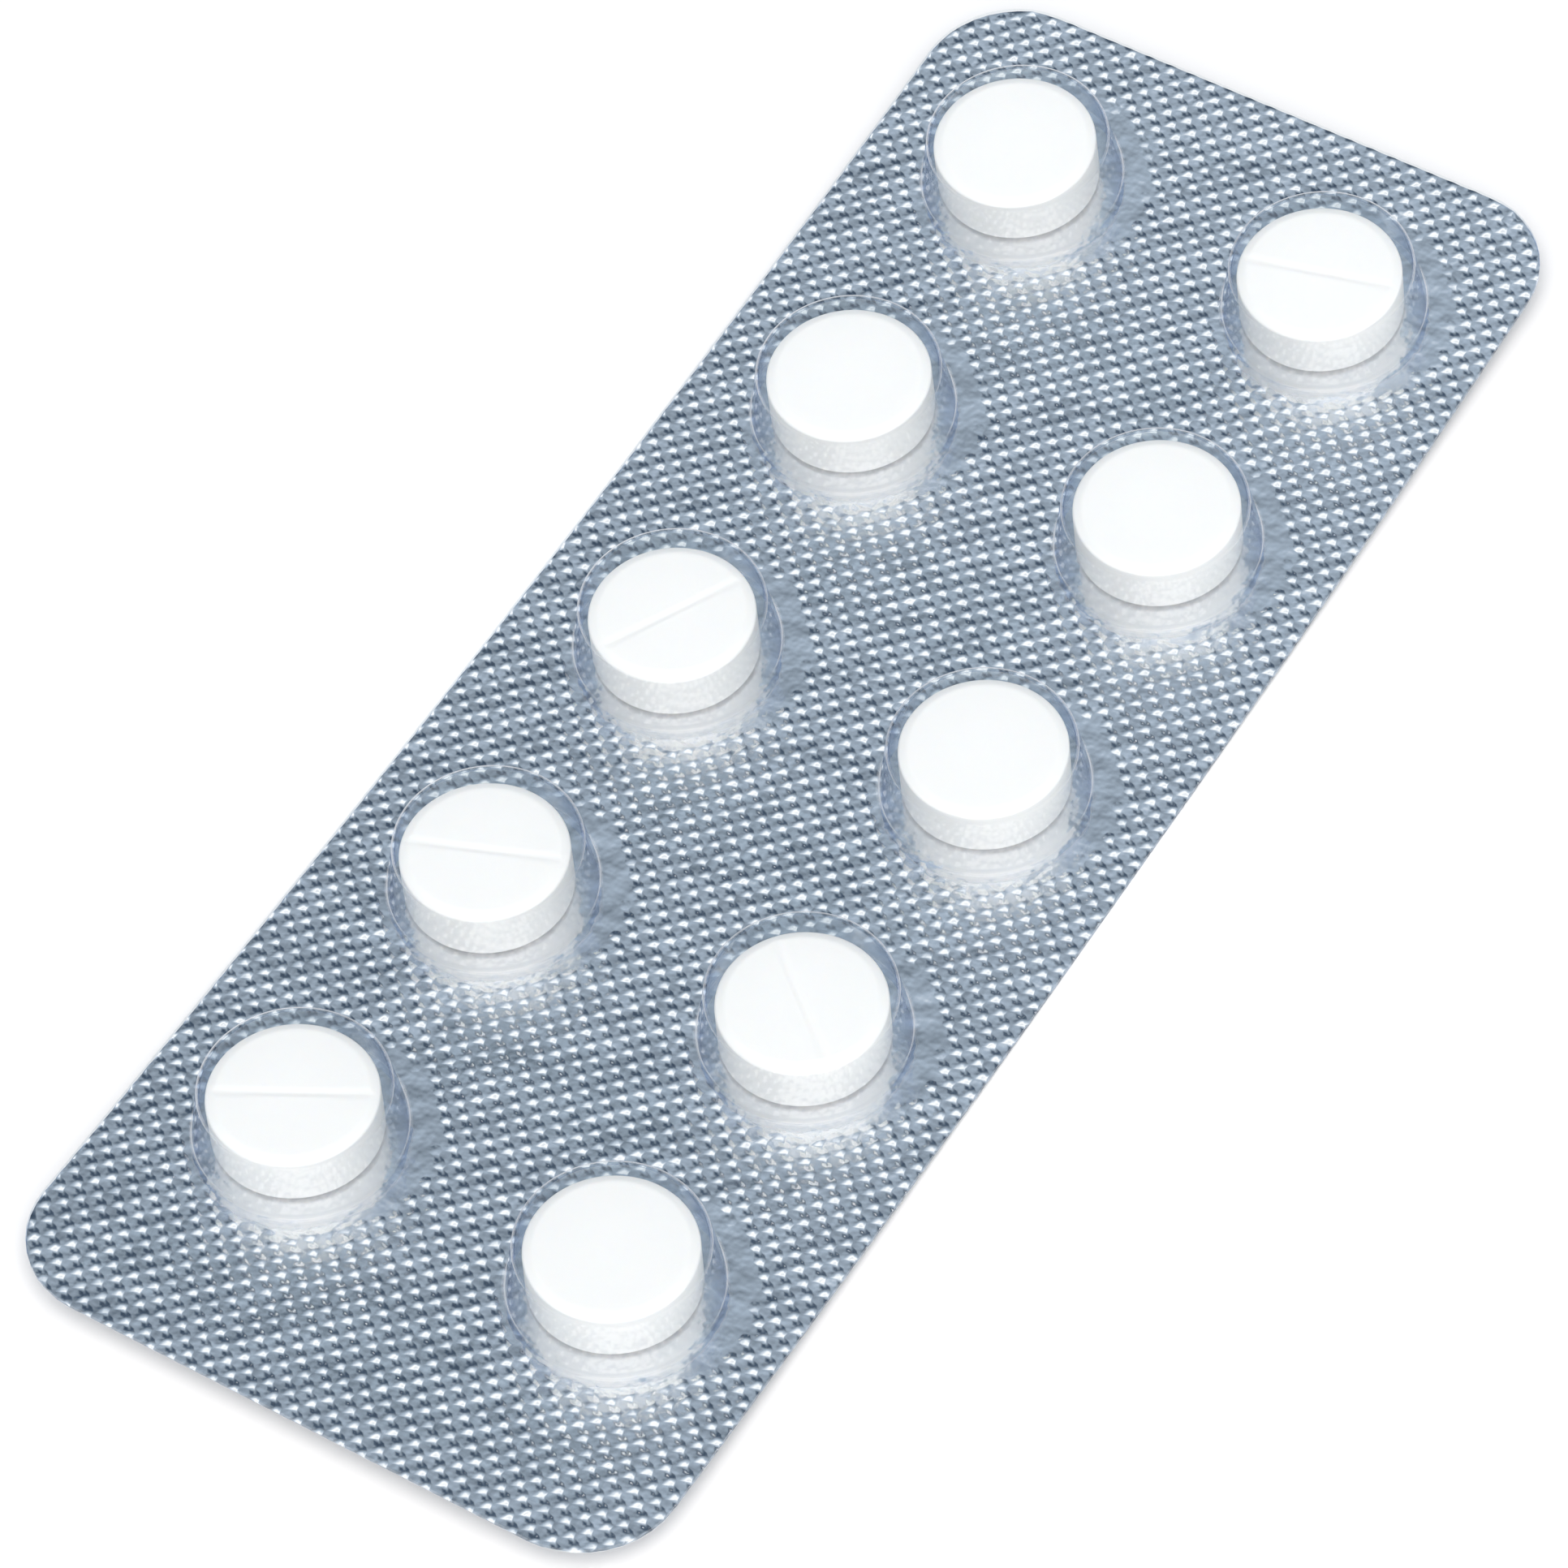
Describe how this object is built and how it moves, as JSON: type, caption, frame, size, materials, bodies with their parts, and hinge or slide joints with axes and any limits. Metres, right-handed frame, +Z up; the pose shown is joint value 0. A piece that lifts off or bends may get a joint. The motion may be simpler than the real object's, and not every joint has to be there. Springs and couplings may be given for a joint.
{
  "type": "pill blister pack",
  "caption": "Push-through blister pack: clear thermoformed film with two columns of flat-topped pockets, sealed to an embossed foil, a round white tablet in each.",
  "frame": {"origin": "centre of the card's outline, on the lowest line of the foil's underside", "axes": "+X across the card, +Y along its long side, +Z up from the foil towards the pockets"},
  "size_m": [0.0374, 0.096, 0.0056],
  "materials": {
    "clear_film": "clear glossy thermoformed PVC film",
    "foil": "hard aluminium lidding foil, knurl-embossed where it is sealed",
    "tablet": "matte pressed white powder"
  },
  "bodies": {
    "root": {"formed_film": "clear_film", "lidding_foil": "foil", "tablet_row1_left": "tablet", "tablet_row1_right": "tablet", "tablet_row2_left": "tablet", "tablet_row2_right": "tablet", "tablet_row3_left": "tablet", "tablet_row3_right": "tablet", "tablet_row4_left": "tablet", "tablet_row4_right": "tablet", "tablet_row5_left": "tablet", "tablet_row5_right": "tablet"}
  },
  "joints": []
}
